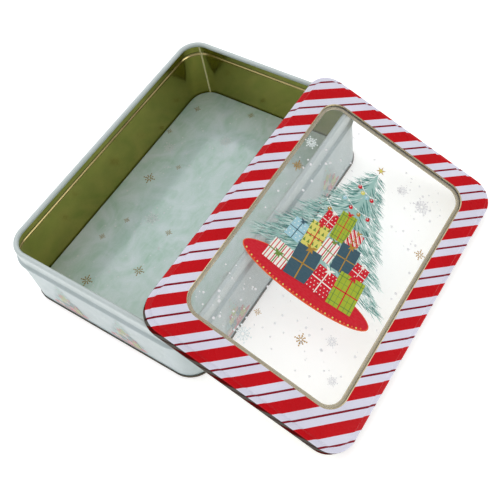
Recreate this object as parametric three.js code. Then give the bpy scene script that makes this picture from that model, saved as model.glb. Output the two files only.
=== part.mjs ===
// Rectangular cookie tin with its loose window lid leaning on one rim, in millimetres, +Z up.
// The short side of the tin runs along X and the long side along Y. The lid has its own frame,
// with its origin on the top of its panel, and is then turned and put down beside the tin.
import * as THREE from 'three';

// Sheet metal
const SHEET = 0.4;
const HALF_SHEET = SHEET / 2;
const GAP = 0.3;

// Tin body: half sizes of the outside of the straight wall, and its heights
const TIN_HALF_X = 87.0;
const TIN_HALF_Y = 127.8;
const TIN_CORNER = 20.0;
const TIN_HEIGHT = 67.3;
const NECK_INSET = 1.2;
const RIM_CURL_RADIUS = 2.1;
const RIM_CURL_END = 290;
const BEAD_TOP = 55.0;
const BEAD_PEAK = 51.9;
const BEAD_FOOT = 49.2;
const BEAD_DEPTH = 1.2;

// Side seam, a lap of the wall strip in the far left corner. Its angle is that of its middle
// from +X. It lies on the facet of the corner between the two steps next to that angle.
const LAP_WIDTH = 1.6;
const LAP_RAMP = 0.3;
const LAP_DEPTH = 0.3;
const LAP_ANGLE = 116;
const LAP_FOOT = 3.5;

// Bottom end and the seam that holds it on
const FLOOR_TOP = 2.7;
const FLOOR_BEND = 1.5;
const SEAM_HEIGHT = 3.2;
const SEAM_BEND = 0.4;

// Lid: half sizes of the outside of the skirt, and the section of its sheet
const LID_HALF_X = 87.6;
const LID_HALF_Y = 128.5;
const LID_CORNER = 19.5;
const LID_DEPTH = 14.8;
const HEM_BEND = 0.3;
const HEM_LEG = 1.1;
const SHOULDER_RADIUS = 1.5;
const SHOULDER_INNER = 3.4;
const SHOULDER_RISE = 0.3;
const STEP_BEND = 0.5;
const PANEL_DROP = 2.2;

// Window: half sizes and corner of its opening, its place along Y, and its turned-down edge
const WINDOW_HALF_X = 66.8;
const WINDOW_HALF_Y = 106.2;
const WINDOW_CORNER = 15.0;
const WINDOW_SHIFT = 2.4;
const WINDOW_BEND = 0.7;
const WINDOW_FLANGE = 1.1;
const BORDER = LID_HALF_X - WINDOW_HALF_X;

// Clear sheet and the ring under it
const CLEAR_SHEET = 0.4;
const CLEAR_OVERLAP = 5.0;
const RING_PEEK = 2.7;
const RING_POCKET = 7.0;
const RING_FOOT = 5.0;
const RING_BEND = 0.5;
const RING_DEPTH = 3.3;

// Lid at rest: how far it is tipped, with its right hem on the table, and its place along Y
const LID_TILT = THREE.MathUtils.degToRad(24.5);
const LID_SHIFT = 0.4;

// Fineness of the round stretches
const CORNER_STEPS = 6;
const ARC_STEP = 30;

// Points of an arc about a centre, in degrees, first and last angle included.
function arc(x, z, radius, from, to) {
  const steps = Math.max(2, Math.ceil(Math.abs(to - from) / ARC_STEP));
  const points = [];
  for (let i = 0; i <= steps; i += 1) {
    const angle = THREE.MathUtils.degToRad(from + ((to - from) * i) / steps);
    points.push(new THREE.Vector2(x + radius * Math.cos(angle), z + radius * Math.sin(angle)));
  }
  return points;
}

// Points of a smooth change of offset from one height to another, the first left out.
function ease(fromX, fromZ, toX, toZ, steps) {
  const points = [];
  for (let i = 1; i <= steps; i += 1) {
    const t = i / steps;
    const blend = (1 - Math.cos(Math.PI * t)) / 2;
    points.push(new THREE.Vector2(fromX + (toX - fromX) * blend, fromZ + (toZ - fromZ) * t));
  }
  return points;
}

// Direction across the line at one of its points, lengthened so that the sheet keeps its thickness.
function crossing(line, i) {
  const before = line[Math.max(i - 1, 0)];
  const after = line[Math.min(i + 1, line.length - 1)];
  const first = line[i].clone().sub(before).normalize();
  const last = after.clone().sub(line[i]).normalize();
  const along = first.add(last).normalize();
  const across = new THREE.Vector2(along.y, -along.x);
  const leg = after.equals(line[i]) ? line[i].clone().sub(before) : after.clone().sub(line[i]);
  return across.divideScalar(Math.abs(leg.normalize().dot(along)));
}

// Closed outline of a bent sheet about its middle line. Each point says which face it is on.
function sheetSection(line) {
  const right = [];
  const left = [];
  line.forEach((point, i) => {
    const across = crossing(line, i).multiplyScalar(HALF_SHEET);
    right.push({ x: point.x + across.x, z: point.y + across.y, face: 'right' });
    left.push({ x: point.x - across.x, z: point.y - across.y, face: 'left' });
  });
  return right.concat(left.reverse());
}

// One closed loop of a rounded rectangle at one height, anticlockwise seen from above.
function planLoop(halfX, halfY, corner, z) {
  const loop = [];
  const centres = [[1, 1, 0], [-1, 1, 90], [-1, -1, 180], [1, -1, 270]];
  for (const [sideX, sideY, start] of centres) {
    for (let i = 0; i <= CORNER_STEPS; i += 1) {
      const angle = THREE.MathUtils.degToRad(start + (90 * i) / CORNER_STEPS);
      const x = sideX * (halfX - corner) + corner * Math.cos(angle);
      const y = sideY * (halfY - corner) + corner * Math.sin(angle);
      loop.push(new THREE.Vector3(x, y, z));
    }
  }
  return loop;
}

// Adds the four points across the side seam to a loop, the middle two moved inwards by depth.
function withLap(loop, depth) {
  const step = 90 / CORNER_STEPS;
  const before = Math.floor((LAP_ANGLE - 90) / step);
  const start = CORNER_STEPS + 1 + before;
  const [first, last] = [loop[start], loop[start + 1]];
  const length = first.distanceTo(last);
  const middle = length * ((LAP_ANGLE - 90) / step - before);
  const inwards = new THREE.Vector3(first.y - last.y, last.x - first.x, 0).divideScalar(length);
  const half = LAP_WIDTH / 2;
  const lap = [
    [middle - half, 0],
    [middle - half + LAP_RAMP, depth],
    [middle + half - LAP_RAMP, depth],
    [middle + half, 0],
  ].map(([run, shift]) => first.clone().lerp(last, run / length).addScaledVector(inwards, shift));
  return [...loop.slice(0, start + 1), ...lap, ...loop.slice(start + 1)];
}

// Closed surface through a list of loops with the same number of points.
// With capped, the first and last loops are filled; without it, the last loop joins the first.
function loft(loops, capped) {
  const count = loops[0].length;
  const positions = [];
  const indices = [];
  for (const loop of loops) {
    for (const point of loop) {
      positions.push(point.x, point.y, point.z);
    }
  }
  const rows = capped ? loops.length - 1 : loops.length;
  for (let row = 0; row < rows; row += 1) {
    const low = row * count;
    const high = ((row + 1) % loops.length) * count;
    for (let i = 0; i < count; i += 1) {
      const j = (i + 1) % count;
      indices.push(low + i, low + j, high + j);
      indices.push(low + i, high + j, high + i);
    }
  }
  if (capped) {
    const lastRow = (loops.length - 1) * count;
    for (let i = 1; i < count - 1; i += 1) {
      indices.push(0, i + 1, i);
      indices.push(lastRow, lastRow + i, lastRow + i + 1);
    }
  }
  const geometry = new THREE.BufferGeometry();
  geometry.setAttribute('position', new THREE.Float32BufferAttribute(positions, 3));
  geometry.setIndex(indices);
  geometry.computeVertexNormals();
  return geometry;
}

function metal(color, roughness, metalness) {
  return new THREE.MeshStandardMaterial({ color, roughness, metalness });
}

function namedMesh(name, geometry, material) {
  const mesh = new THREE.Mesh(geometry, material);
  mesh.name = name;
  return mesh;
}

// Middle line of the wall sheet, from its foot inside the seam to the end of the rim's curl.
// x is counted outwards from the middle of the straight wall's sheet.
function wallLine() {
  const curl = RIM_CURL_RADIUS - HALF_SHEET;
  const curlHeight = TIN_HEIGHT - RIM_CURL_RADIUS;
  return [
    new THREE.Vector2(0, SHEET + GAP),
    new THREE.Vector2(0, FLOOR_TOP),
    new THREE.Vector2(0, LAP_FOOT),
    new THREE.Vector2(0, BEAD_FOOT),
    ...ease(0, BEAD_FOOT, BEAD_DEPTH, BEAD_PEAK, 4),
    ...ease(BEAD_DEPTH, BEAD_PEAK, -NECK_INSET, BEAD_TOP, 4),
    ...arc(-NECK_INSET - curl, curlHeight, curl, 0, RIM_CURL_END),
  ];
}

// The wall: one strip bent round, with a lapped side seam, a bead, a neck and a curled rim.
function tinWall() {
  const halfX = TIN_HALF_X - HALF_SHEET;
  const halfY = TIN_HALF_Y - HALF_SHEET;
  const corner = TIN_CORNER - HALF_SHEET;
  const lapTop = TIN_HEIGHT - 2 * RIM_CURL_RADIUS;
  const loops = sheetSection(wallLine()).map(({ x, z, face }) => {
    const lapped = face === 'left' && z < lapTop && z >= LAP_FOOT;
    return withLap(planLoop(halfX + x, halfY + x, corner + x, z), lapped ? LAP_DEPTH : 0);
  });
  return namedMesh('tin_wall', loft(loops, false), metal(0xc9d6d0, 0.3, 0.4));
}

// The bottom end: a flat floor, a short wall down inside the tin wall, and the seam round its foot.
function bottomPanel() {
  const halfX = TIN_HALF_X - HALF_SHEET;
  const halfY = TIN_HALF_Y - HALF_SHEET;
  const corner = TIN_CORNER - HALF_SHEET;
  const inner = -(SHEET + GAP);
  const outer = SHEET + GAP;
  const bend = FLOOR_BEND - HALF_SHEET;
  const floor = FLOOR_TOP - HALF_SHEET;
  const line = [
    ...arc(inner - bend, floor - bend, bend, 90, 0),
    ...arc(inner + SEAM_BEND, HALF_SHEET + SEAM_BEND, SEAM_BEND, 180, 270),
    ...arc(outer - SEAM_BEND, HALF_SHEET + SEAM_BEND, SEAM_BEND, 270, 360),
    new THREE.Vector2(outer, SEAM_HEIGHT),
  ];
  const section = sheetSection(line);
  const loops = section.map(({ x, z }) => planLoop(halfX + x, halfY + x, corner + x, z));
  return namedMesh('bottom_panel', loft(loops, true), metal(0xb9c6b8, 0.2, 0.5));
}

// Loop at a distance outwards from the edge of the window's opening.
function windowLoop(outset, z) {
  const halfX = WINDOW_HALF_X + outset;
  const halfY = WINDOW_HALF_Y + outset;
  const loop = planLoop(halfX, halfY, WINDOW_CORNER + outset, z);
  return loop.map((point) => point.setY(point.y + WINDOW_SHIFT));
}

// Loop at a distance inwards from the outside of the lid's skirt.
function skirtLoop(inset, z) {
  return planLoop(LID_HALF_X - inset, LID_HALF_Y - inset, LID_CORNER - inset, z);
}

// Loop of the lid's sheet at a distance inwards from the outside of its long sides. It follows
// the skirt as far as the panel, and changes evenly over the panel to the window's edge.
function lidLoop(inset, z) {
  const panelInset = SHOULDER_INNER + 2 * STEP_BEND + HALF_SHEET;
  const flangeInset = BORDER - SHEET;
  if (inset <= panelInset) {
    return skirtLoop(inset, z);
  }
  if (inset >= flangeInset) {
    return windowLoop(BORDER - inset, z);
  }
  const share = (inset - panelInset) / (flangeInset - panelInset);
  const windowEdge = windowLoop(SHEET, z);
  return skirtLoop(panelInset, z).map((point, i) => point.lerp(windowEdge[i], share));
}

// Middle line of the lid's sheet, from the end of its hem to the flange round the window.
// x is counted outwards from the middle of the skirt's sheet, z from the top of the panel.
function lidLine() {
  const hem = -LID_DEPTH + HALF_SHEET + HEM_BEND;
  const panel = -HALF_SHEET;
  const shoulder = -PANEL_DROP;
  const stepInner = -SHOULDER_INNER - 2 * STEP_BEND;
  const flange = -(BORDER - SHEET);
  return [
    new THREE.Vector2(-2 * HEM_BEND, hem + HEM_LEG),
    ...arc(-HEM_BEND, hem, HEM_BEND, 180, 360),
    ...arc(-SHOULDER_RADIUS, shoulder - SHOULDER_RADIUS, SHOULDER_RADIUS, 0, 80),
    ...ease(-SHOULDER_INNER, shoulder + SHOULDER_RISE, stepInner, panel, 4),
    ...arc(flange + WINDOW_BEND, panel - WINDOW_BEND, WINDOW_BEND, 90, 180),
    new THREE.Vector2(flange, -WINDOW_FLANGE),
  ];
}

// The lid's frame: hemmed skirt, shoulder, raised panel and the window's turned-down edge.
function lidFrame() {
  const loops = sheetSection(lidLine()).map(({ x, z }) => lidLoop(HALF_SHEET - x, z));
  return namedMesh('lid_frame', loft(loops, false), metal(0xc8102a, 0.3, 0.2));
}

// The clear sheet, held between the window's flange and the ring.
function lidWindow() {
  const top = -WINDOW_FLANGE - GAP;
  const loops = [windowLoop(CLEAR_OVERLAP, top - CLEAR_SHEET), windowLoop(CLEAR_OVERLAP, top)];
  return namedMesh('lid_window', loft(loops, true), metal(0xf4f6f6, 0.05, 0));
}

// The ring: a stepped hoop that carries the clear sheet and is fixed under the lid's panel.
// Its inner edge shows inside the window and is turned down. x is counted outwards from the
// edge of the window's opening.
function windowRing() {
  const shelf = -WINDOW_FLANGE - CLEAR_SHEET - 2 * GAP - HALF_SHEET;
  const foot = -SHEET - GAP - HALF_SHEET;
  const lip = -RING_PEEK + HALF_SHEET;
  const line = [
    new THREE.Vector2(RING_POCKET + RING_FOOT, foot),
    new THREE.Vector2(RING_POCKET, foot),
    new THREE.Vector2(RING_POCKET, shelf),
    ...arc(lip + RING_BEND, shelf - RING_BEND, RING_BEND, 90, 180),
    new THREE.Vector2(lip, -RING_DEPTH),
  ];
  const loops = sheetSection(line).map(({ x, z }) => windowLoop(x, z));
  return namedMesh('window_ring', loft(loops, false), metal(0xa08a4a, 0.3, 0.9));
}

// Places the lid so that its right hem stands on the table and its ring lies just over the rim.
function leanLid(lid) {
  lid.rotation.y = LID_TILT;
  const height = -new THREE.Box3().setFromObject(lid, true).min.z;
  const curlX = TIN_HALF_X - NECK_INSET - RIM_CURL_RADIUS;
  const curlZ = TIN_HEIGHT - RIM_CURL_RADIUS;
  const drop = RING_DEPTH + GAP + RIM_CURL_RADIUS + (curlZ - height) * Math.cos(LID_TILT);
  lid.position.set(curlX + drop / Math.sin(LID_TILT), LID_SHIFT, height);
}

const tin = new THREE.Group();
tin.add(tinWall(), bottomPanel());

const lid = new THREE.Group();
lid.add(lidFrame(), windowRing(), lidWindow());
leanLid(lid);

// The tin and the lid together stand centred over the origin, on z = 0.
const cookieTin = new THREE.Group();
cookieTin.add(tin, lid);
cookieTin.updateMatrixWorld(true);
const middle = new THREE.Box3().setFromObject(cookieTin, true).getCenter(new THREE.Vector3());
for (const half of [tin, lid]) {
  half.position.x -= middle.x;
  half.position.y -= middle.y;
}
cookieTin.updateMatrixWorld(true);

export default cookieTin;
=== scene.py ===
"""Rectangular cookie tin with a striped window lid leaning on its rim.

Sections and prints are in millimetres, colours from 0 to 255.
"""

import math
import random

import bpy
from mathutils import Matrix, Vector


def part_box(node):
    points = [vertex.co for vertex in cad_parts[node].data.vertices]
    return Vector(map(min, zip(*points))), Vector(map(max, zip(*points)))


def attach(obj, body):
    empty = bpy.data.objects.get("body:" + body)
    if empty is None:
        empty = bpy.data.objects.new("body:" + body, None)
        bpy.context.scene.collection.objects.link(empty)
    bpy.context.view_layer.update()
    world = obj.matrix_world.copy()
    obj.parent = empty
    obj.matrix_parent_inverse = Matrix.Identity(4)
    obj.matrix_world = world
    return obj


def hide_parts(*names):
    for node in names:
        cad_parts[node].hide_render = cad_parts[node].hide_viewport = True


# A millimetre in metres, and the millimetres that count as nothing
MM = 0.001
TINY = 0.001

# Sheet metal, in millimetres
SHEET = 0.4
HALF_SHEET = SHEET / 2
GAP = 0.3

# Tin wall section, and how far from the bead's foot and peak the painted highlight and painted
# shade lines inside begin
TIN_CORNER = 20.0
NECK_INSET = 1.2
RIM_CURL_RADIUS = 2.1
RIM_CURL_END = 290
BEAD_TOP = 55.0
BEAD_PEAK = 51.9
BEAD_FOOT = 49.2
BEAD_DEPTH = 1.2
PAINTED_HIGHLIGHT_LINE = 0.5
PAINTED_SHADE_LINE = 0.8

# Side seam, in the far left corner
LAP_WIDTH = 1.6
LAP_RAMP = 0.3
LAP_DEPTH = 0.3
LAP_ANGLE = 116
LAP_FOOT = 3.5

# Bottom end
FLOOR_TOP = 2.7
FLOOR_BEND = 1.5
SEAM_HEIGHT = 3.2
SEAM_BEND = 0.4

# Lid section. SKIRT_FOLD is the stretch of the skirt below its shoulder that has a row of faces of
# its own; the skirt's first few rows, counted at the end here, have stripes darkened as painted
# shade.
LID_TILT = math.radians(24.5)
LID_HALF_X = 87.6
LID_CORNER = 19.5
LID_DEPTH = 14.8
HEM_BEND = 0.3
HEM_LEG = 1.1
SHOULDER_RADIUS = 1.5
SHOULDER_INNER = 3.4
SHOULDER_RISE = 0.3
STEP_BEND = 0.5
PANEL_DROP = 2.2
SKIRT_FOLD = 1.0
SHOULDER_TURN = 80
PAINTED_SHADE_ROWS = 4
PANEL_INSET = SHOULDER_INNER + 2 * STEP_BEND + HALF_SHEET

# Window, clear sheet and ring
WINDOW_HALF_X = 66.8
WINDOW_HALF_Y = 106.2
WINDOW_CORNER = 15.0
WINDOW_SHIFT = 2.4
WINDOW_BEND = 0.7
WINDOW_FLANGE = 1.1
BORDER = LID_HALF_X - WINDOW_HALF_X
CLEAR_SHEET = 0.4
CLEAR_OVERLAP = 5.0
RING_PEEK = 2.7
RING_POCKET = 7.0
RING_FOOT = 5.0
RING_BEND = 0.5
RING_DEPTH = 3.3

# Stripes of the lid: one repeat across them, their direction, their colours on the panel and on
# the skirt, where they are darkened as painted shade, and each band as its colour and the share of
# the repeat where it starts
STRIPE_REPEAT = 21.4
STRIPE_NORMAL = math.radians(135.1)
STRIPE_COLOURS = {"red": (207, 0, 18), "white": (234, 233, 250), "line": (140, 4, 32)}
STRIPE_GLOSS = 0.18
# The skirt's stripes: the panel's colours darkened, as painted shade
SKIRT_PAINTED_SHADE_COLOURS = {"red": (88, 14, 14), "white": (92, 88, 82), "line": (56, 10, 14)}
SKIRT_GLOSS = 0.0
STRIPE_BANDS = (("red", 0.0), ("white", 0.190), ("line", 0.444), ("white", 0.512), ("red", 0.780))

# Printed sheet as deep tone, pale tone, roughness, metallic share and weight of the varnish
MINT = (196, 208, 206)
PRINTS = {
    "mint_print": (MINT, (208, 218, 219), 0.35, 0.05, 0.1),
    # The wall's print below the bead: the rim's mint darkened, as painted shade
    "mint_wall": ((180, 194, 194), (192, 204, 207), 0.35, 0.05, 0.1),
    "floor_print": ((172, 212, 194), (226, 241, 246), 0.13, 0.04, 0.0),
    # The side seam's faces: a bright cream that paints a highlight on them
    "seam_painted_highlight": ((250, 238, 172), (254, 248, 196), 0.3, 0.1, 0.0),
}

# Lacquered or bare sheet as tone, shaded tone and roughness
LACQUERS = {
    "gold_inside": ((178, 170, 82), (162, 156, 74), 0.17),
    # A dark line on the neck above the bead inside: painted shade
    "gold_shade": ((74, 62, 26), (58, 50, 20), 0.3),
    # A bright line on the bead's lower slope inside: painted highlight
    "gold_bead": ((210, 194, 136), (192, 176, 120), 0.2),
    "gold_ring": ((214, 200, 168), (196, 182, 148), 0.25),
    "bare_edge": ((96, 84, 70), (66, 60, 46), 0.35),
}

# Inks, and the share of the wall's own colour in its faded print
INKS = {
    "red": (214, 16, 40), "cream": (250, 248, 238), "snow_white": (240, 248, 248),
    "snow_grey": (238, 238, 240), "leaf_dark": (84, 140, 134), "leaf_mid": (124, 172, 164),
    "leaf_light": (160, 200, 192), "leaf_pale": (200, 224, 218), "lime": (170, 188, 48),
    "moss": (112, 146, 60), "yellow": (228, 218, 110), "gold": (184, 140, 50),
    "orange": (236, 104, 48), "sky": (168, 212, 224), "slate": (60, 92, 106),
    "bronze": (150, 122, 0), "frost": (220, 232, 232),
}
FADED_SHARE = 0.68

# Height of the first layer of ink over the sheet, from one layer to the next, and of each layer.
# The mat, the tree and the boxes each start at a layer, and every box takes up GIFT_LAYERS.
INK_START = 0.01
INK_STEP = 0.003
INK_THICKNESS = 0.002
TRAY_LAYER = 0
TREE_LAYER = 3
GIFTS_LAYER = 16
GIFT_LAYERS = 5

# The tree, in millimetres from the middle of the lid: its outline, and the heights and the share
# of its width that its plain body takes up
TREE_X = -1.3
TREE_TOP = 77.0
TREE_FOOT = -23.0
TREE_HALF_WIDTH = 57.0
TREE_TIERS = 5
TIER_START = 0.86
TIER_SPREAD = 0.2
BODY_HEIGHTS = [TREE_TOP - 3.0 * i for i in range(37)]
BODY_SHARE = 0.6

# Brush strokes of the tree: count and width on the lid and on the wall, shades from the back to
# the front, length, how their widths differ, and how far they droop at the tips and in the middle
TREE_SEED = 7
LID_STROKES = (1900, 1.15)
WALL_STROKES = (160, 1.9)
TREE_SHADES = (
    "leaf_pale", "leaf_dark", "leaf_mid", "leaf_light", "leaf_dark", "leaf_light", "leaf_pale",
)
STROKE_LENGTHS = (6, 13)
STROKE_WIDTHS = (0.8, 1.2)
STROKE_REACH = 0.92
TIP_DROOP = 32
MIDDLE_DROOP = 50

# Garlands as height and sag, each in steps to both sides of the middle, and what hangs on them
GARLANDS = ((60.0, 3.5), (45.0, 5.0), (30.0, 6.5))
GARLAND_STEPS = 8
GARLAND_WIDTH = 0.45
GARLAND_SHARE = 0.9
GARLAND_FALL = 3
BAUBLE_INKS = ("red", "yellow", "sky", "red", "gold")
BAUBLE_RADIUS = 1.7
BAUBLE_DROP = 2.4
STAR_RISE = 4
STAR_TIPS = 6

# The mat as its middle and its radii, its border, and the dots along its front
TRAY_X, TRAY_Y, TRAY_RADIUS_X, TRAY_RADIUS_Y = -1.3, -35.8, 56.0, 12.5
TRAY_BORDER = 0.8
TRAY_SIDES = 64
TRAY_DOTS = 34

# Wrapping papers as paper, pattern, ink of the pattern and ribbon. Rows of boxes from the back to
# the front as height of the row's foot, first paper, and the widths and heights of the boxes.
WRAPS = (
    ("cream", "stripes", "red", "moss"), ("slate", "plain", "slate", "gold"),
    ("red", "dots", "cream", "cream"), ("lime", "plaid", "moss", "red"),
    ("red", "diagonal", "cream", "gold"), ("sky", "dots", "cream", "slate"),
    ("yellow", "firs", "moss", "red"),
)
GIFT_ROWS = (
    (8.0, 2, ((11, 18), (13, 25), (11, 16))),
    (-12.0, 5, ((13, 17), (15, 24), (13, 18), (16, 23), (12, 15))),
    (-37.0, 0, ((18, 18), (20, 27), (18, 21), (21, 28))),
)
GIFT_LEAN = 4.0

# Snowflakes as place, size and ink. The coloured ones have fewer arms than the white ones.
LID_FLAKES = (
    (17.5, -72.5, 4.6, "gold"), (59.0, 40.0, 4.2, "gold"), (-19.0, -74.5, 2.6, "gold"),
    (-57.0, 41.0, 4.0, "gold"), (41.0, 76.0, 7.0, "snow_grey"), (-19.0, -94.0, 6.5, "snow_white"),
    (-59.0, 65.0, 5.0, "snow_white"), (21.5, 78.0, 4.5, "snow_grey"),
    (37.0, -60.0, 4.5, "snow_grey"), (52.0, -84.0, 4.0, "snow_grey"),
)
FLOOR_FLAKES = (
    (-66.0, 12.5, 5.0, "bronze"), (-49.0, -99.0, 5.0, "bronze"), (-15.0, -70.0, 4.5, "bronze"),
    (46.0, 87.0, 4.5, "bronze"), (-49.0, 35.0, 2.6, "bronze"), (-56.0, -34.0, 2.6, "bronze"),
    (-65.0, -58.0, 2.8, "bronze"), (-15.0, -27.0, 3.0, "bronze"), (-82.0, 66.0, 2.6, "bronze"),
    (-74.0, 101.0, 3.0, "bronze"), (-23.0, 117.0, 3.0, "bronze"), (-27.0, 80.0, 6.0, "frost"),
    (-37.0, -22.0, 6.5, "frost"), (-70.0, 50.0, 5.5, "frost"), (20.0, 20.0, 5.0, "bronze"),
    (55.0, -40.0, 6.0, "frost"), (40.0, -95.0, 4.5, "bronze"),
)
COLOURED_ARMS = 8
WHITE_ARMS = 12

# Snow dots as ink, count, seed of the draws and radii, the half sizes of the areas they are in, how
# far the ones on the wall stay from its edges, and the ones on the lid from the tree and the mat
LID_SNOW = ("snow_grey", 260, 3, (0.4, 1.2))
FLOOR_SNOW = ("frost", 210, 5, (0.3, 1.0))
WALL_SNOW = ("snow_white", 60, 11, (0.35, 0.9))
LID_SNOW_AREA = (61, 98)
FLOOR_SNOW_AREA = (80, 120)
WALL_SNOW_MARGIN = 4
TREE_MARGIN = 12
TOP_MARGIN = 8
TRAY_MARGIN = 3

# Trees on the wall: their size, the height of their middle, and each side of the tin as its turn
# in degrees and the places of the trees along it
WALL_PRINT_SCALE = 0.33
WALL_PRINT_HEIGHT = 21.0
WALL_PRINTS = {
    "near": (0, (-38.0, 22.0)),
    "far": (180, (-30.0, 30.0)),
    "right": (90, (-72.0, 4.0, 70.0)),
    "left": (270, (-72.0, 0.0, 72.0)),
}

# Camera
CAMERA_AZIMUTH = math.radians(44.285)
CAMERA_ELEVATION = math.radians(57.133)
CAMERA_ROLL = math.radians(-13.594)
CAMERA_DISTANCE = 0.62927
CAMERA_TARGET = Vector((0.055468, -0.007145, 0.0))
CAMERA_LENS = 54.254
CAMERA_SENSOR = 36.0

# Studio: table, light from all round, and lamps as name, place and size in metres, and watts.
# The light changes from left to right and from front to back within WORLD_FADE of the middle.
TABLE_SIZE = 4.0
TABLE_HEIGHT = -0.0002
TABLE_GLOW = 0.56
TABLE_TONES = ((0.90, 0.90, 0.89, 1.0), (0.92, 0.92, 0.91, 1.0))
WORLD_LEFT = 0.95
WORLD_RIGHT = 0.6
WORLD_FRONT = 0.8
WORLD_FADE = 0.35
LIGHTS = (
    ("overhead", (-0.5, 0.3, 1.6), 1.6, 4.4),
    ("right", (1.3, 0.1, 0.7), 0.8, 3.0),
)

# Fineness of a corner, of an arc in degrees, and of a smooth change of offset
CORNER_STEPS = 20
ARC_STEP = 12
EASE_STEPS = 8

# Side seam in degrees round its corner, the corner's points that its four points take the place
# of, and the columns of faces between those four
LAP_HALF = math.degrees(LAP_WIDTH / 2 / TIN_CORNER)
LAP_RAMP_TURN = math.degrees(LAP_RAMP / TIN_CORNER)
LAP_START = CORNER_STEPS + 1 + math.ceil((LAP_ANGLE - LAP_HALF - 90) * CORNER_STEPS / 90)
LAP_END = CORNER_STEPS + 2 + math.floor((LAP_ANGLE + LAP_HALF - 90) * CORNER_STEPS / 90)
LAP_COLUMNS = range(LAP_START, LAP_START + 3)

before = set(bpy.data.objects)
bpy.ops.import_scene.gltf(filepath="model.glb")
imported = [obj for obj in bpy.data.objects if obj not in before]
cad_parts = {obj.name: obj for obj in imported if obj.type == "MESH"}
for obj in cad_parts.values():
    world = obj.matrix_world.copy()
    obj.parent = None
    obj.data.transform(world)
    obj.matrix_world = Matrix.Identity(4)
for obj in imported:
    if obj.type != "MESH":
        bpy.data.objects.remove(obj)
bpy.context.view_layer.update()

wall_low, wall_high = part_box("tin_wall")
tin_middle = (wall_low + wall_high) / 2
TIN_HALF_X = (wall_high.x - wall_low.x) / 2 / MM - BEAD_DEPTH
TIN_HALF_Y = (wall_high.y - wall_low.y) / 2 / MM - BEAD_DEPTH
TIN_HEIGHT = wall_high.z / MM
tin_place = Matrix.Translation((tin_middle.x, tin_middle.y, 0.0))

lid_low, lid_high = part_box("lid_frame")
pane_low, pane_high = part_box("lid_window")
LID_HALF_Y = (lid_high.y - lid_low.y) / 2 / MM
PANE_TOP = -WINDOW_FLANGE - GAP
lid_turn = Matrix.Rotation(LID_TILT, 4, "Y")
pane_middle = Vector((0.0, WINDOW_SHIFT, PANE_TOP - CLEAR_SHEET / 2)) * MM
lid_place = Matrix.Translation((pane_low + pane_high) / 2 - lid_turn @ pane_middle) @ lid_turn


# Sections ---------------------------------------------------------------------------------------

def arc(x, z, radius, start, end):
    """Points of an arc about a centre, in degrees, first and last angle included."""
    steps = max(2, math.ceil(abs(end - start) / ARC_STEP))
    angles = [math.radians(start + (end - start) * i / steps) for i in range(steps + 1)]
    return [Vector((x + radius * math.cos(a), z + radius * math.sin(a))) for a in angles]


def ease(from_x, from_z, to_x, to_z):
    """Points of a smooth change of offset from one height to another, the first left out."""
    points = []
    for i in range(1, EASE_STEPS + 1):
        t = i / EASE_STEPS
        blend = (1 - math.cos(math.pi * t)) / 2
        points.append(Vector((from_x + (to_x - from_x) * blend, from_z + (to_z - from_z) * t)))
    return points


def crossing(line, i):
    """Direction across the line at a point, lengthened so that the sheet keeps its thickness."""
    before = line[max(i - 1, 0)]
    after = line[min(i + 1, len(line) - 1)]
    legs = [leg.normalized() for leg in (line[i] - before, after - line[i]) if leg.length > TINY]
    along = sum(legs, Vector((0, 0))).normalized()
    return Vector((along.y, -along.x)) / abs(legs[0].dot(along))


def sheet_section(line):
    """Outline of a bent sheet: (x, z, face, index of the middle line's point) all the way round."""
    right, left = [], []
    for i, point in enumerate(line):
        across = crossing(line, i) * HALF_SHEET
        right.append((point.x + across.x, point.y + across.y, "right", i))
        left.append((point.x - across.x, point.y - across.y, "left", i))
    return right + left[::-1]


def plan_loop(half_x, half_y, corner):
    """Points of a rounded rectangle, anticlockwise, each with the direction outwards from it."""
    loop = []
    for side_x, side_y, start in ((1, 1, 0), (-1, 1, 90), (-1, -1, 180), (1, -1, 270)):
        for i in range(CORNER_STEPS + 1):
            a = math.radians(start + 90 * i / CORNER_STEPS)
            out = Vector((math.cos(a), math.sin(a)))
            centre = Vector((side_x * (half_x - corner), side_y * (half_y - corner)))
            loop.append((centre + corner * out, out))
    return loop


def lap_loop(loop, corner, depth):
    """Puts the four points of the side seam into a loop, the middle two moved inwards."""
    point, out = loop[LAP_START]
    centre = point - corner * out
    lap = []
    ramp = LAP_HALF - LAP_RAMP_TURN
    for turn, shift in ((-LAP_HALF, 0.0), (-ramp, depth), (ramp, depth), (LAP_HALF, 0.0)):
        a = math.radians(LAP_ANGLE + turn)
        out = Vector((math.cos(a), math.sin(a)))
        lap.append((centre + (corner - shift) * out, out))
    return loop[:LAP_START] + lap + loop[LAP_END:]


# Meshes -----------------------------------------------------------------------------------------

def mesh_piece(name, verts, faces, face_finishes, order, place, body, sheet_uv=None):
    """Makes one piece from points in millimetres, puts it in place and lets it ride on its body.

    Each face has the name of its finish, and order lists the names that the piece uses.
    """
    mesh = bpy.data.meshes.new(name)
    mesh.from_pydata([Vector(v) * MM for v in verts], [], faces)
    for finish in order:
        mesh.materials.append(finishes[finish])
    for polygon, finish in zip(mesh.polygons, face_finishes):
        polygon.material_index = order.index(finish)
    if sheet_uv is not None:
        layer = mesh.uv_layers.new(name="sheet")
        for loop in mesh.loops:
            layer.data[loop.index].uv = sheet_uv[loop.vertex_index]
    mesh.validate()
    mesh.update()
    piece = bpy.data.objects.new(name, mesh)
    bpy.context.scene.collection.objects.link(piece)
    piece.matrix_world = place
    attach(piece, body)
    return piece


def smooth(piece):
    """Smooth shading that leaves the large flat faces flat."""
    piece.data.shade_smooth()
    weights = piece.modifiers.new("flat_faces_rule", "WEIGHTED_NORMAL")
    weights.mode = "FACE_AREA"
    weights.weight = 100


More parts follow.
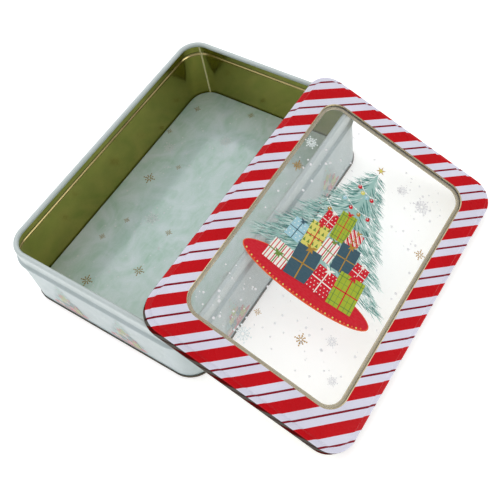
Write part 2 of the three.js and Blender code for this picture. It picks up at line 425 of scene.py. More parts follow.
def loft(loops, row_finishes, capped):
    """Faces through loops of points, each row of faces with its finish, open-ended or closed up."""
    count = len(loops[0])
    verts = [point for loop in loops for point in loop]
    faces, face_finishes = [], []
    rows = len(loops) - 1 if capped else len(loops)
    for row in range(rows):
        low = row * count
        high = ((row + 1) % len(loops)) * count
        for i in range(count):
            j = (i + 1) % count
            faces.append((low + i, low + j, high + j, high + i))
            face_finishes.append(row_finishes[row])
    if capped:
        last = (len(loops) - 1) * count
        faces.append(tuple(range(count - 1, -1, -1)))
        faces.append(tuple(range(last, last + count)))
        face_finishes += [row_finishes[0], row_finishes[-1]]
    return verts, faces, face_finishes


# Materials --------------------------------------------------------------------------------------

# Sockets of a colour mix
MIX_FACTOR, MIX_FIRST, MIX_SECOND, MIX_RESULT = 0, 6, 7, 2


def srgb(red, green, blue):
    """A colour from 0 to 255 as the linear one that a node takes."""
    def linear(value):
        value /= 255
        return value / 12.92 if value <= 0.04045 else ((value + 0.055) / 1.055) ** 2.4
    return (linear(red), linear(green), linear(blue), 1.0)


class Nodes:
    """A material's node tree, with short calls for the nodes used here."""

    def __init__(self, name):
        self.material = bpy.data.materials.new(name)
        self.material.use_nodes = True
        self.tree = self.material.node_tree
        self.tree.nodes.clear()
        self.shader = self.add("ShaderNodeBsdfPrincipled")
        output = self.add("ShaderNodeOutputMaterial")
        self.link(self.shader.outputs["BSDF"], output.inputs["Surface"])
        self.place = self.add("ShaderNodeTexCoord").outputs["Object"]

    def add(self, kind, **settings):
        node = self.tree.nodes.new(kind)
        for key, value in settings.items():
            setattr(node, key, value)
        return node

    def link(self, source, target):
        self.tree.links.new(source, target)

    def feed(self, value, socket):
        """Links a node's output to a socket, or sets the socket to a plain value."""
        if isinstance(value, bpy.types.NodeSocket):
            self.link(value, socket)
        else:
            socket.default_value = value

    def noise(self, size_mm, detail=3.0, stretch=None, twist=0.0):
        """Soft noise whose patches are about this size, drawn out where stretch is below one."""
        node = self.add("ShaderNodeTexNoise")
        node.inputs["Distortion"].default_value = twist
        node.inputs["Scale"].default_value = 1.0 / (size_mm * MM)
        node.inputs["Detail"].default_value = detail
        source = self.place
        if stretch is not None:
            mapping = self.add("ShaderNodeMapping")
            mapping.inputs["Scale"].default_value = stretch
            self.link(source, mapping.inputs["Vector"])
            source = mapping.outputs["Vector"]
        self.link(source, node.inputs["Vector"])
        return node.outputs["Fac"]

    def spread(self, source, low, high):
        """Noise, which stays near a half, spread over a range of values."""
        node = self.add("ShaderNodeMapRange")
        node.inputs["From Min"].default_value = 0.3
        node.inputs["From Max"].default_value = 0.7
        node.inputs["To Min"].default_value = low
        node.inputs["To Max"].default_value = high
        self.link(source, node.inputs["Value"])
        return node.outputs["Result"]

    def mix(self, factor, first, second, blend="MIX"):
        node = self.add("ShaderNodeMix", data_type="RGBA", blend_type=blend)
        self.feed(factor, node.inputs[MIX_FACTOR])
        self.feed(first, node.inputs[MIX_FIRST])
        self.feed(second, node.inputs[MIX_SECOND])
        return node.outputs[MIX_RESULT]

    def maths(self, operation, first, second=0.0):
        node = self.add("ShaderNodeMath", operation=operation)
        self.feed(first, node.inputs[0])
        self.feed(second, node.inputs[1])
        return node.outputs[0]

    def bump(self, height, depth_mm):
        node = self.add("ShaderNodeBump")
        node.inputs["Distance"].default_value = depth_mm * MM
        self.link(height, node.inputs["Height"])
        self.link(node.outputs["Normal"], self.shader.inputs["Normal"])

    def fixed(self, **values):
        """Plain values, set on the shader's own sockets."""
        for key, value in values.items():
            self.shader.inputs[key.replace("_", " ")].default_value = value


def darker(colour, share):
    return tuple(c * share for c in colour[:3]) + (1.0,)


def print_material(name, deep, pale, roughness, metallic, coat):
    """Printed tinplate: a wash of ink in soft clouds and brush marks, under a clear varnish."""
    n = Nodes(name)
    wash = n.spread(n.noise(26, 5.0, twist=1.2), 0.0, 1.0)
    marks = n.spread(n.noise(5, 4.0, stretch=(1.0, 0.4, 0.6), twist=0.8), 0.0, 0.55)
    base = n.mix(wash, deep, pale)
    base = n.mix(marks, base, pale)
    base = n.mix(n.spread(n.noise(0.6, 2.0), 0.0, 0.2), base, darker(deep, 0.92))
    n.link(base, n.shader.inputs["Base Color"])
    n.link(n.spread(n.noise(9), roughness * 0.8, roughness * 1.2), n.shader.inputs["Roughness"])
    n.fixed(Metallic=metallic, Coat_Weight=coat, Coat_Roughness=0.08)
    n.bump(n.noise(40, 1.0), 0.02)
    return n.material


def gold_material(name, colour, shade, roughness):
    """Gold lacquer over rolled tinplate: a fine grain along the sheet and uneven lacquer."""
    n = Nodes(name)
    base = n.mix(n.spread(n.noise(25), 0.0, 1.0), shade, colour)
    rolled = n.spread(n.noise(0.5, 2.0, stretch=(0.08, 0.08, 1.0)), 0.0, 0.35)
    n.link(n.mix(rolled, base, darker(shade, 0.85)), n.shader.inputs["Base Color"])
    n.link(n.spread(n.noise(12), roughness * 0.85, roughness * 1.2), n.shader.inputs["Roughness"])
    n.fixed(Metallic=0.95)
    n.bump(n.noise(45, 1.0), 0.02)
    return n.material


def striped_material(name, colours, gloss):
    """Stripes laid out on the flat sheet, which the sheet map carries round the bends."""
    n = Nodes(name)
    split = n.add("ShaderNodeSeparateXYZ")
    n.link(n.add("ShaderNodeUVMap", uv_map="sheet").outputs["UV"], split.inputs[0])
    across = n.maths(
        "ADD",
        n.maths("MULTIPLY", split.outputs[0], math.cos(STRIPE_NORMAL) / STRIPE_REPEAT),
        n.maths("MULTIPLY", split.outputs[1], math.sin(STRIPE_NORMAL) / STRIPE_REPEAT),
    )
    phase = n.maths("FRACT", across)
    ramp = n.add("ShaderNodeValToRGB")
    ramp.color_ramp.interpolation = "CONSTANT"
    elements = ramp.color_ramp.elements
    while len(elements) < len(STRIPE_BANDS):
        elements.new(0.5)
    for element, (_, start) in zip(elements, STRIPE_BANDS):
        element.position = start
    for element, (band, _) in zip(elements, STRIPE_BANDS):
        element.color = srgb(*colours[band])
    n.link(phase, ramp.inputs["Fac"])
    cloud = n.spread(n.noise(30), 0.9, 1.0)
    grain = n.spread(n.noise(0.7, 2.0), 0.95, 1.0)
    cover = n.mix(1.0, ramp.outputs["Color"], n.maths("MULTIPLY", cloud, grain), "MULTIPLY")
    n.link(cover, n.shader.inputs["Base Color"])
    n.link(n.spread(n.noise(8), 0.22, 0.32), n.shader.inputs["Roughness"])
    n.fixed(Specular_IOR_Level=gloss)
    n.bump(n.noise(16, 1.0), 0.03)
    return n.material


def ink_material(name, colour):
    """Printing ink: uneven cover with fine brush marks, under a thin varnish."""
    n = Nodes(name)
    cover = n.spread(n.noise(3.5, 2.0), 0.0, 0.35)
    base = n.mix(cover, colour, darker(colour, 0.82))
    brush = n.spread(n.noise(0.9, 2.0, stretch=(0.35, 1.0, 1.0)), 0.0, 0.2)
    paler = tuple(c * 0.85 + 0.1 for c in colour[:3]) + (1.0,)
    n.link(n.mix(brush, base, paler), n.shader.inputs["Base Color"])
    n.link(n.spread(n.noise(5), 0.35, 0.5), n.shader.inputs["Roughness"])
    n.fixed(Specular_IOR_Level=0.2)
    return n.material


def clear_material(name):
    """Clear polyester sheet: it lets nearly all light through and shines a little."""
    n = Nodes(name)
    n.fixed(Alpha=0.1, IOR=1.6)
    haze = n.spread(n.noise(40), 0.0, 1.0)
    n.link(n.mix(haze, srgb(204, 210, 212), srgb(214, 218, 220)), n.shader.inputs["Base Color"])
    n.link(n.spread(n.noise(20), 0.05, 0.12), n.shader.inputs["Roughness"])
    n.bump(n.noise(60, 1.0), 0.15)
    return n.material


finishes = {
    "striped_print": striped_material("striped_print", STRIPE_COLOURS, STRIPE_GLOSS),
    # The skirt's stripes are the panel's darkened, as painted shade.
    "striped_skirt": striped_material("striped_skirt", SKIRT_PAINTED_SHADE_COLOURS, SKIRT_GLOSS),
    "clear_sheet": clear_material("clear_sheet"),
}
for finish_name, (deep_tone, pale_tone, *settings) in PRINTS.items():
    tones = (srgb(*deep_tone), srgb(*pale_tone))
    finishes[finish_name] = print_material(finish_name, *tones, *settings)
for finish_name, (tone, shaded_tone, rough) in LACQUERS.items():
    finishes[finish_name] = gold_material(finish_name, srgb(*tone), srgb(*shaded_tone), rough)
for ink_name, ink_colour in INKS.items():
    faded = [c * (1 - FADED_SHARE) + paper * FADED_SHARE for c, paper in zip(ink_colour, MINT)]
    finishes["ink_" + ink_name] = ink_material("ink_" + ink_name, srgb(*ink_colour))
    finishes["faded_" + ink_name] = ink_material("faded_" + ink_name, srgb(*faded))


# The tin ----------------------------------------------------------------------------------------

def tin_loop(x, z, depth=None):
    """One loop of the tin, x millimetres outwards from the middle of the straight wall's sheet."""
    offset = x - HALF_SHEET
    loop = plan_loop(TIN_HALF_X + offset, TIN_HALF_Y + offset, TIN_CORNER + offset)
    if depth is not None:
        loop = lap_loop(loop, TIN_CORNER + offset, depth)
    return [(point.x, point.y, z) for point, out in loop]


def wall_finish(z, face):
    """Finish of a row of the wall: painted highlight and shade lines on the bead inside, painted
    shade outside up to the bead's top.
    """
    if face == "right":
        # Outside, below the bead's top, the print is darkened as painted shade.
        return "mint_wall" if z < BEAD_TOP else "mint_print"
    # Inside, a bright line on the bead's lower slope is a painted highlight, and a dark line on the
    # neck above it is painted shade.
    if BEAD_FOOT + PAINTED_HIGHLIGHT_LINE < z <= BEAD_PEAK:
        return "gold_bead"
    return "gold_shade" if BEAD_PEAK + PAINTED_SHADE_LINE < z < BEAD_TOP else "gold_inside"


def make_wall():
    curl = RIM_CURL_RADIUS - HALF_SHEET
    line = [Vector((0, z)) for z in (SHEET + GAP, FLOOR_TOP, LAP_FOOT, BEAD_FOOT)]
    line += ease(0, BEAD_FOOT, BEAD_DEPTH, BEAD_PEAK)
    line += ease(BEAD_DEPTH, BEAD_PEAK, -NECK_INSET, BEAD_TOP)
    line += arc(-NECK_INSET - curl, TIN_HEIGHT - RIM_CURL_RADIUS, curl, 0, RIM_CURL_END)
    section = sheet_section(line)
    lap_top = TIN_HEIGHT - 2 * RIM_CURL_RADIUS
    loops = []
    for x, z, face, i in section:
        lapped = face == "left" and LAP_FOOT <= z + TINY and z < lap_top
        loops.append(tin_loop(x, z, LAP_DEPTH if lapped else 0.0))
    row_finishes = [wall_finish(z, face) for x, z, face, i in section]
    verts, faces, face_finishes = loft(loops, row_finishes, False)
    # The side seam's faces inside get a bright cream: a painted highlight.
    for face, finish in enumerate(face_finishes):
        if finish.startswith("gold") and face % len(loops[0]) in LAP_COLUMNS:
            face_finishes[face] = "seam_painted_highlight"
    order = ("mint_print", "gold_inside", "seam_painted_highlight", "gold_bead", "gold_shade", "mint_wall")
    piece = mesh_piece("wall_sheet", verts, faces, face_finishes, order, tin_place, "tin")
    smooth(piece)
    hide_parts("tin_wall")


def make_bottom():
    inner = -(SHEET + GAP)
    outer = SHEET + GAP
    bend = FLOOR_BEND - HALF_SHEET
    floor = FLOOR_TOP - HALF_SHEET
    line = arc(inner - bend, floor - bend, bend, 90, 0)
    line += arc(inner + SEAM_BEND, HALF_SHEET + SEAM_BEND, SEAM_BEND, 180, 270)
    line += arc(outer - SEAM_BEND, HALF_SHEET + SEAM_BEND, SEAM_BEND, 270, 360)
    line += [Vector((outer, SEAM_HEIGHT))]
    section = sheet_section(line)
    loops = [tin_loop(x, z) for x, z, face, i in section]
    row_finishes = ["bare_edge" if face == "right" else "floor_print" for x, z, face, i in section]
    order = ("floor_print", "bare_edge")
    piece = mesh_piece("bottom_sheet", *loft(loops, row_finishes, True), order, tin_place, "tin")
    smooth(piece)
    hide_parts("bottom_panel")


# The lid ----------------------------------------------------------------------------------------

def window_plan(outset):
    """Loop at a distance outwards from the edge of the window's opening."""
    plan = plan_loop(WINDOW_HALF_X + outset, WINDOW_HALF_Y + outset, WINDOW_CORNER + outset)
    return [(point + Vector((0.0, WINDOW_SHIFT)), out) for point, out in plan]


def skirt_plan(inset):
    """Loop at a distance inwards from the outside of the lid's skirt."""
    return plan_loop(LID_HALF_X - inset, LID_HALF_Y - inset, LID_CORNER - inset)


def lid_plan(inset):
    """Loop of the lid's sheet: the skirt's as far as the panel, then evenly on to the window's."""
    flange_inset = BORDER - SHEET
    if inset <= PANEL_INSET:
        return skirt_plan(inset)
    if inset >= flange_inset:
        return window_plan(BORDER - inset)
    share = (inset - PANEL_INSET) / (flange_inset - PANEL_INSET)
    pairs = zip(skirt_plan(PANEL_INSET), window_plan(SHEET))
    return [(first.lerp(last, share), out) for (first, out), (last, _) in pairs]


def make_lid_frame():
    hem = -LID_DEPTH + HALF_SHEET + HEM_BEND
    panel = -HALF_SHEET
    shoulder = -PANEL_DROP
    step_inner = -SHOULDER_INNER - 2 * STEP_BEND
    flange = -(BORDER - SHEET)
    hem_line = [Vector((-2 * HEM_BEND, hem + HEM_LEG))] + arc(-HEM_BEND, hem, HEM_BEND, 180, 360)
    skirt = [Vector((0, hem + HEM_LEG)), Vector((0, shoulder - SHOULDER_RADIUS - SKIRT_FOLD))]
    skirt += arc(-SHOULDER_RADIUS, shoulder - SHOULDER_RADIUS, SHOULDER_RADIUS, 0, SHOULDER_TURN)
    skirt += ease(-SHOULDER_INNER, shoulder + SHOULDER_RISE, step_inner, panel)
    border = [Vector((flange + WINDOW_BEND, panel))]
    turned = arc(flange + WINDOW_BEND, panel - WINDOW_BEND, WINDOW_BEND, 90, 180)[1:]
    line = hem_line + skirt + border + turned + [Vector((flange, -WINDOW_FLANGE))]

    # The print starts at the skirt's foot and runs over the crease of the panel to the window.
    foot = len(hem_line)
    crease = foot + len(skirt) - 1

    # The skirt's first rows take stripes darkened as painted shade.
    def outside_finish(i):
        if i < foot:
            return "bare_edge"
        if i < foot + PAINTED_SHADE_ROWS:
            return "striped_skirt"
        return "striped_print" if i <= crease + 1 else "gold_ring"

    run = [0.0] * len(line)
    for i in range(crease - 1, -1, -1):
        run[i] = run[i + 1] + (line[i + 1] - line[i]).length
    crease_plan = lid_plan(HALF_SHEET - line[crease].x)
    loops, row_finishes, uvs = [], [], []
    for x, z, face, i in sheet_section(line):
        plan = lid_plan(HALF_SHEET - x)
        loops.append([(point.x, point.y, z) for point, out in plan])
        row_finishes.append("gold_inside" if face == "left" else outside_finish(i))
        for (point, out), (start, _) in zip(plan, crease_plan):
            uvs.append(point if i >= crease else start + out * run[i])
    mesh = loft(loops, row_finishes, False)
    order = ("striped_print", "gold_inside", "bare_edge", "striped_skirt", "gold_ring")
    piece = mesh_piece("lid_sheet", *mesh, order, lid_place, "lid", uvs)
    smooth(piece)
    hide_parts("lid_frame")


def make_ring():
    shelf = -WINDOW_FLANGE - CLEAR_SHEET - 2 * GAP - HALF_SHEET
    foot = -SHEET - GAP - HALF_SHEET
    lip = -RING_PEEK + HALF_SHEET
    line = [Vector((x, z)) for x, z in (
        (RING_POCKET + RING_FOOT, foot), (RING_POCKET, foot), (RING_POCKET, shelf))]
    line += arc(lip + RING_BEND, shelf - RING_BEND, RING_BEND, 90, 180)
    line += [Vector((lip, -RING_DEPTH))]
    section = sheet_section(line)
    loops = [[(p.x, p.y, z) for p, out in window_plan(x)] for x, z, face, i in section]
    mesh = loft(loops, ["gold_ring"] * len(loops), False)
    piece = mesh_piece("ring_sheet", *mesh, ("gold_ring",), lid_place, "lid")
    smooth(piece)
    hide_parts("window_ring")


def make_pane():
    plan = window_plan(CLEAR_OVERLAP)
    loops = [[(p.x, p.y, z) for p, out in plan] for z in (PANE_TOP - CLEAR_SHEET, PANE_TOP)]
    mesh = loft(loops, ["clear_sheet"], True)
    piece = mesh_piece("clear_pane", *mesh, ("clear_sheet",), lid_place, "lid")
    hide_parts("lid_window")


# Printed motifs ---------------------------------------------------------------------------------

class Print:
    """Flat shapes of ink on a surface, each a thin closed prism, gathered into one mesh."""

    def __init__(self, prefix="ink_"):
        self.verts, self.faces, self.finishes = [], [], []
        self.scale, self.shift, self.prefix = 1.0, (0.0, 0.0), prefix

    def shape(self, points, ink, layer):
        area = sum(a[0] * b[1] - b[0] * a[1] for a, b in zip(points, points[1:] + points[:1]))
        if area < 0:
            points = points[::-1]
        flat = [(x * self.scale + self.shift[0], y * self.scale + self.shift[1]) for x, y in points]
        low = INK_START + layer * INK_STEP
        first, count = len(self.verts), len(flat)
        self.verts += [(x, y, low) for x, y in flat]
        self.verts += [(x, y, low + INK_THICKNESS) for x, y in flat]
        self.faces.append(tuple(range(first + count - 1, first - 1, -1)))
        self.faces.append(tuple(range(first + count, first + 2 * count)))
        for i in range(count):
            j = (i + 1) % count
            self.faces.append((first + i, first + j, first + count + j, first + count + i))
        self.finishes += [self.prefix + ink] * (count + 2)

    def make(self, name, place, body):
        order = list(dict.fromkeys(self.finishes))
        piece = mesh_piece(name, self.verts, self.faces, self.finishes, order, place, body)


def away(x, y, angle, distance):
    """The point at a distance from another, in a direction."""
    return (x + distance * math.cos(angle), y + distance * math.sin(angle))


def disc(x, y, radius_x, radius_y=None, sides=8):
    radius_y = radius_x if radius_y is None else radius_y
    angles = [2 * math.pi * i / sides for i in range(sides)]
    return [(x + radius_x * math.cos(a), y + radius_y * math.sin(a)) for a in angles]


def leaf(x, y, angle, length, width):
    """A brush stroke: pointed at both ends and widest a third of the way along."""
    along = (math.cos(angle), math.sin(angle))
    swell = [(0, 0), (length * 0.35, -width / 2), (length, 0), (length * 0.35, width / 2)]
    return [(x + a * along[0] - b * along[1], y + a * along[1] + b * along[0]) for a, b in swell]


def bar(x0, y0, x1, y1, width):
    """A straight band from one point to another."""
    run = math.hypot(x1 - x0, y1 - y0)
    side = (-(y1 - y0) / run * width / 2, (x1 - x0) / run * width / 2)
    return [
        (x0 - side[0], y0 - side[1]), (x1 - side[0], y1 - side[1]),
        (x1 + side[0], y1 + side[1]), (x0 + side[0], y0 + side[1]),
    ]


def star(x, y, outer, inner, tips):
    """A star that stands on its lowest tip."""
    turns = [math.pi / 2 + math.pi * i / tips for i in range(2 * tips)]
    return [away(x, y, a, inner if i % 2 else outer) for i, a in enumerate(turns)]


def flake(p, x, y, size, ink):
    """A snowflake: arms with a dot on each tip, every second one longer and with two twigs."""
    arms = COLOURED_ARMS if ink in ("gold", "bronze") else WHITE_ARMS
    for i in range(arms):
        a = 2 * math.pi * i / arms + 0.2
        reach = size if i % 2 == 0 else size * 0.7
        arm = bar(*away(x, y, a, size * 0.18), *away(x, y, a, reach * 0.8), size * 0.15)
        p.shape(arm, ink, 0)
        p.shape(disc(*away(x, y, a, reach), size * 0.13), ink, 0)
        if i % 2 == 0:
            for side in (-0.7, 0.7):
                knot = away(x, y, a, size * 0.5)
                p.shape(leaf(*knot, a + side, size * 0.32, size * 0.1), ink, 0)


def clip(points, half_w, half_h):
    """The part of a convex shape inside a box about the origin."""
    for axis, sign, limit in ((0, 1, half_w), (0, -1, half_w), (1, 1, half_h), (1, -1, half_h)):
        kept = []
        for a, b in zip(points, points[1:] + points[:1]):
            inside_a, inside_b = sign * a[axis] <= limit, sign * b[axis] <= limit
            if inside_a:
                kept.append(a)
            if inside_a != inside_b:
                t = (sign * limit - a[axis]) / (b[axis] - a[axis])
                kept.append((a[0] + (b[0] - a[0]) * t, a[1] + (b[1] - a[1]) * t))
        points = kept
        if len(points) < 3:
            return []
    return points


def paper_pattern(kind, half_w, half_h):
    """Shapes of a wrapping paper's pattern, in the box's own frame."""
    reach = half_w + half_h
    shapes = []
    if kind == "stripes":
        count = max(4, int(half_w / 1.5))
        pitch = 2 * half_w / count
        for i in range(count):
            x = -half_w + pitch * (i + 0.5)
            shapes.append(bar(x, -half_h, x, half_h, pitch * 0.25))
    elif kind == "diagonal":
        pitch = max(4.6, reach / 2.9)
        steps = int(2 * reach / pitch) + 1
        for i in range(-steps, steps + 1):
            for x, share in ((i * pitch, 0.2), ((i + 0.34) * pitch, 0.08)):
                shapes.append(bar(x - reach, reach, x + reach, -reach, pitch * share))
    elif kind == "plaid":
        for i in range(-3, 4):
            width = 0.35 if i % 2 else 0.7
            x, y = i * half_w / 2.6, i * half_h / 2.6
            shapes.append(bar(x, -half_h, x, half_h, width))
            shapes.append(bar(-half_w, y, half_w, y, width))
    elif kind == "dots":
        pitch, share = (3.0, 0.15) if half_w < 10 else (6.6, 0.25)
        rows, columns = int(half_h / pitch) + 1, int(half_w / pitch) + 1
        for row in range(-rows, rows + 1):
            for column in range(-columns, columns + 1):
                x = (column + (0.5 if row % 2 else 0.0)) * pitch
                shapes.append(disc(x, row * pitch, pitch * share, sides=10))
    elif kind == "firs":
        for row in range(-2, 3):
            for column in range(-2, 3):
                x, y = (column + 0.25 * (row % 2)) * half_w / 2.1, row * half_h / 2.2
                shapes.append([(x - 1.2, y - 1.6), (x + 1.2, y - 1.6), (x, y + 1.7)])
    return [clipped for clipped in (clip(shape, half_w, half_h) for shape in shapes) if clipped]


def gift(p, layer, x, y, width, height, lean, paper, kind, ink, ribbon):
    """A wrapped box seen from the front, with its pattern, ribbon and bow."""
    half_w, half_h = width / 2, height / 2
    a = math.radians(lean)

    def put(points, colour, above):
        turned = [(x + u * math.cos(a) - v * math.sin(a), y + u * math.sin(a) + v * math.cos(a))
                  for u, v in points]
        p.shape(turned, colour, layer + above)

    put([(-half_w, -half_h), (half_w, -half_h), (half_w, half_h), (-half_w, half_h)], paper, 0)
    for shape in paper_pattern(kind, half_w, half_h):
        put(shape, ink, 1)
    band = half_w * 0.1
    knot = half_h if height > width else 0.0
    put(bar(0, -half_h, 0, half_h, band), ribbon, 2)
    put(bar(-half_w, 0, half_w, 0, band), ribbon, 2)
    loop = half_w * 0.55
    for turn, length in ((0.5, 1.0), (math.pi - 0.5, 1.0), (-0.9, 0.8), (math.pi + 0.9, 0.8)):
        put(leaf(0, knot, turn, loop * length, loop * 0.45), ribbon, 3)
    put(disc(0, knot, loop * 0.2), ribbon, 4)


def tree_half_width(y):
    """Half width of the tree's outline at a height. It grows downwards, in tiers."""
    fall = (TREE_TOP - y) / (TREE_TOP - TREE_FOOT)
    tier = (fall * TREE_TIERS) % 1.0
    return TREE_HALF_WIDTH * fall * (TIER_START + TIER_SPREAD * tier)


def bauble(p, x, y, ink, layer):
    p.shape(disc(x, y, BAUBLE_RADIUS, sides=14), ink, layer)
    p.shape(disc(x - 0.5, y + 0.5, 0.5), "cream", layer + 1)


def draw_strokes(p, layer, strokes, stroke_width):
    """The tree's branches, in brush strokes that point outwards and droop."""
    draw = random.Random(TREE_SEED)
    for step, shade in enumerate(TREE_SHADES):
        for _ in range(strokes // len(TREE_SHADES)):
            y = TREE_FOOT + (TREE_TOP - TREE_FOOT) * (1 - draw.random() ** 0.6)
            side = draw.uniform(-1.0, 1.0)
            side = math.copysign(abs(side) ** 0.7, side)
            x = TREE_X + side * tree_half_width(y) * STROKE_REACH
            droop = draw.uniform(0, TIP_DROOP) + MIDDLE_DROOP * (1 - abs(side)) ** 2
            angle = -math.radians(droop) if side > 0 else math.pi + math.radians(droop)
            width = stroke_width * draw.uniform(*STROKE_WIDTHS) * (1 - 0.5 * abs(side))
            length = draw.uniform(*STROKE_LENGTHS)
            p.shape(leaf(x, y, angle, length, width), shade, layer + step)


def draw_garland(p, layer, y, sag, first_bauble):
    """A sagging string from side to side, with dots and baubles on it in turn."""
    half = tree_half_width(y) * GARLAND_SHARE
    path = []
    for step in range(-GARLAND_STEPS, GARLAND_STEPS + 1):
        t = step / GARLAND_STEPS
        path.append((TREE_X + half * t, y - sag * (1 - t ** 2) - GARLAND_FALL * t))
    for start, end in zip(path, path[1:]):
        p.shape(bar(*start, *end, GARLAND_WIDTH), "snow_white", layer)
    for i, (x, low) in enumerate(path):
        if i % 4 == 2:
            ink = BAUBLE_INKS[(i // 4 + first_bauble) % len(BAUBLE_INKS)]
            bauble(p, x, low - BAUBLE_DROP, ink, layer + 2)
        elif i % 2 == 0:
            p.shape(disc(x, low, 0.7), "cream", layer + 1)


def draw_tree(p, layer, strokes, stroke_width):
    """The fir: a plain body, brush strokes over it, then garlands, baubles and a star on top."""
    body = [(TREE_X - BODY_SHARE * tree_half_width(y), y) for y in BODY_HEIGHTS]
    body += [(TREE_X + BODY_SHARE * tree_half_width(y), y) for y in reversed(BODY_HEIGHTS)]
    p.shape(body, "leaf_light", layer)
    draw_strokes(p, layer + 1, strokes, stroke_width)
    top = layer + 2 + len(TREE_SHADES)
    for turn, (y, sag) in enumerate(GARLANDS):
        draw_garland(p, top, y, sag, 2 * turn)
    p.shape(star(TREE_X, TREE_TOP + STAR_RISE, 4.2, 1.3, STAR_TIPS), "gold", top)
    p.shape(star(TREE_X, TREE_TOP + STAR_RISE, 2.2, 0.9, STAR_TIPS), "yellow", top + 1)


def draw_tray(p, layer):
    """The oval red mat that the tree and the boxes stand on, with a row of dots along its front."""
    border = disc(TRAY_X, TRAY_Y, TRAY_RADIUS_X, TRAY_RADIUS_Y, TRAY_SIDES)
    inner_x, inner_y = TRAY_RADIUS_X - TRAY_BORDER, TRAY_RADIUS_Y - TRAY_BORDER
    p.shape(border, "orange", layer)
    p.shape(disc(TRAY_X, TRAY_Y + 0.2, inner_x, inner_y, TRAY_SIDES), "red", layer + 1)
    for i in range(TRAY_DOTS):
        c = 0.96 * (2 * i / (TRAY_DOTS - 1) - 1)
        x = TRAY_X + TRAY_RADIUS_X * 0.95 * c
        y = TRAY_Y - TRAY_RADIUS_Y * 0.84 * math.sqrt(1 - c * c)
        p.shape(disc(x, y, 0.7), "orange" if i % 2 else "yellow", layer + 2)


def draw_gifts(p, layer):
    """Rows of boxes side by side, leaning to and fro, each in front of the ones before."""
    for foot, wrap, boxes in GIFT_ROWS:
        x = TREE_X - sum(width for width, _ in boxes) / 2
        for i, (width, height) in enumerate(boxes):
            lean = GIFT_LEAN if i % 2 else -GIFT_LEAN
            place = (x + width / 2, foot + height / 2)
            gift(p, layer, *place, width, height, lean, *WRAPS[(wrap + i) % len(WRAPS)])
            x += width
            layer += GIFT_LAYERS


def draw_scene(p, strokes, stroke_width):
    draw_tray(p, TRAY_LAYER)
    draw_tree(p, TREE_LAYER, strokes, stroke_width)
    draw_gifts(p, GIFTS_LAYER)


def draw_snow(p, half_w, half_h, ink, count, seed, radii, avoid=None):
    """Dots strewn over a box about the origin, except where avoid says so."""
    draw = random.Random(seed)
    for _ in range(count):
        x, y = draw.uniform(-half_w, half_w), draw.uniform(-half_h, half_h)
        radius = draw.uniform(*radii)
        if avoid is None or not avoid(x, y):
            p.shape(disc(x, y, radius, sides=9), ink, 0)


def near_tree(x, y):
    """Whether a point on the lid is on the tree or the mat, or close to them."""
    if y < TREE_FOOT:
        beside = abs(x - TRAY_X) < TRAY_RADIUS_X + TRAY_MARGIN
        return beside and y > TRAY_Y - TRAY_RADIUS_Y - TRAY_MARGIN
    beside = abs(x - TREE_X) < tree_half_width(min(y, TREE_TOP)) + TREE_MARGIN
    return beside and y < TREE_TOP + TOP_MARGIN


def make_lid_print():
    up = lid_place @ Matrix.Translation((0.0, 0.0, PANE_TOP * MM))
    picture = Print()
    draw_scene(picture, *LID_STROKES)
    picture.make("printed_tree", up, "lid")
    snow = Print()
    for place in LID_FLAKES:
        flake(snow, *place)
    draw_snow(snow, *LID_SNOW_AREA, *LID_SNOW, near_tree)
    snow.make("printed_snow", up, "lid")


def make_floor_print():
    place = tin_place @ Matrix.Translation((0.0, 0.0, FLOOR_TOP * MM))
    snow = Print()
    for flake_place in FLOOR_FLAKES:
        flake(snow, *flake_place)
    draw_snow(snow, *FLOOR_SNOW_AREA, *FLOOR_SNOW)
    snow.make("floor_snow", place, "tin")


def make_wall_prints():
    """Faded trees and snow on the outside of the wall, drawn upright on each side in turn."""
    ink, count, seed, radii = WALL_SNOW
    for name, (angle, places) in WALL_PRINTS.items():
        reach, half_w = (TIN_HALF_Y, TIN_HALF_X) if angle % 180 == 0 else (TIN_HALF_X, TIN_HALF_Y)
        turn = Matrix.Rotation(math.radians(angle), 4, "Z")
        stand = Matrix.Translation((0.0, -reach * MM, 0.0)) @ Matrix.Rotation(math.pi / 2, 4, "X")
        p = Print("faded_")
        for x in places:
            p.scale, p.shift = WALL_PRINT_SCALE, (x, WALL_PRINT_HEIGHT)
            draw_scene(p, *WALL_STROKES)
        p.scale, p.shift = 1.0, (0.0, (BEAD_FOOT + SEAM_HEIGHT) / 2)
        half_h = BEAD_FOOT / 2 - WALL_SNOW_MARGIN
        draw_snow(p, half_w - TIN_CORNER, half_h, ink, count, seed + angle, radii)
        p.make("wall_print_" + name, tin_place @ turn @ stand, "tin")


make_wall()
make_bottom()
make_lid_frame()
make_ring()
make_pane()
make_lid_print()
make_floor_print()
make_wall_prints()


# Studio -----------------------------------------------------------------------------------------

def make_table():
    """A pale table that glows a little, so that it stays white under the soft light."""
    half = TABLE_SIZE / 2
    corners = [(-half, -half, 0), (half, -half, 0), (half, half, 0), (-half, half, 0)]
    mesh = bpy.data.meshes.new("table")
    mesh.from_pydata(corners, [], [(0, 1, 2, 3)])
    table = bpy.data.objects.new("table", mesh)
    table.location.z = TABLE_HEIGHT
    bpy.context.scene.collection.objects.link(table)
    n = Nodes("table_white")
    paper = n.mix(n.spread(n.noise(200), 0.0, 1.0), *TABLE_TONES)
    n.link(paper, n.shader.inputs["Base Color"])
    n.fixed(Roughness=0.9, Specular_IOR_Level=0.1)
    n.fixed(Emission_Color=(1, 1, 1, 1), Emission_Strength=TABLE_GLOW)
    mesh.materials.append(n.material)


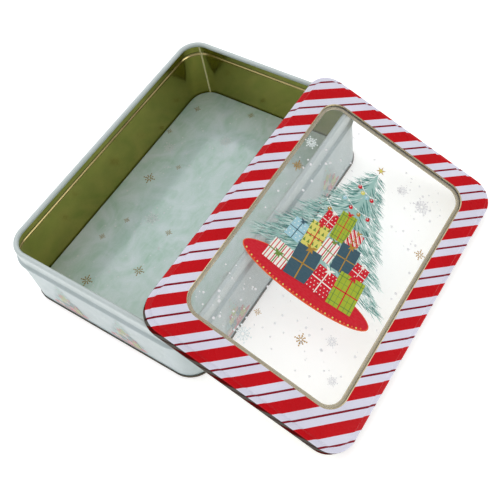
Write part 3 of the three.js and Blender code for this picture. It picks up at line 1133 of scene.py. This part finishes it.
def make_world():
    """White light from all round, with a soft change to the right and to the front."""
    world = bpy.data.worlds.new("studio")
    bpy.context.scene.world = world
    world.use_nodes = True
    tree = world.node_tree
    split = tree.nodes.new("ShaderNodeSeparateXYZ")
    tree.links.new(tree.nodes.new("ShaderNodeTexCoord").outputs["Generated"], split.inputs[0])
    product = tree.nodes.new("ShaderNodeMath")
    product.operation = "MULTIPLY"
    fades = (("X", WORLD_LEFT, WORLD_RIGHT), ("Y", WORLD_FRONT, 1.0))
    for i, (axis, low, high) in enumerate(fades):
        fade = tree.nodes.new("ShaderNodeMapRange")
        fade.interpolation_type = "SMOOTHSTEP"
        for socket, value in zip(fade.inputs[1:5], (-WORLD_FADE, WORLD_FADE, low, high)):
            socket.default_value = value
        tree.links.new(split.outputs[axis], fade.inputs["Value"])
        tree.links.new(fade.outputs["Result"], product.inputs[i])
    tree.links.new(product.outputs[0], tree.nodes["Background"].inputs["Strength"])
    tree.nodes["Background"].inputs["Color"].default_value = (1, 1, 1, 1)


def make_lamps():
    for name, place, size, power in LIGHTS:
        data = bpy.data.lights.new(name, "AREA")
        data.shape = "SQUARE"
        data.size = size
        data.energy = power
        light = bpy.data.objects.new(name, data)
        light.location = place
        light.rotation_euler = (-Vector(place)).to_track_quat("-Z", "Y").to_euler()
        bpy.context.scene.collection.objects.link(light)


def make_camera():
    east, north = math.cos(CAMERA_AZIMUTH), math.sin(CAMERA_AZIMUTH)
    flat, rise = math.cos(CAMERA_ELEVATION), math.sin(CAMERA_ELEVATION)
    back = Vector((north * flat, -east * flat, rise))
    right = Vector((east, north, 0.0))
    up = back.cross(right)
    rolled_right = math.cos(CAMERA_ROLL) * right + math.sin(CAMERA_ROLL) * up
    rolled_up = back.cross(rolled_right)
    data = bpy.data.cameras.new("camera")
    data.lens = CAMERA_LENS
    data.sensor_width = CAMERA_SENSOR
    camera = bpy.data.objects.new("camera", data)
    place = tin_place.translation + CAMERA_TARGET + back * CAMERA_DISTANCE
    axes = Matrix((rolled_right, rolled_up, back)).transposed().to_4x4()
    camera.matrix_world = Matrix.Translation(place) @ axes
    bpy.context.scene.collection.objects.link(camera)
    bpy.context.scene.camera = camera


make_table()
make_world()
make_lamps()
make_camera()
bpy.context.scene.view_settings.view_transform = "Standard"
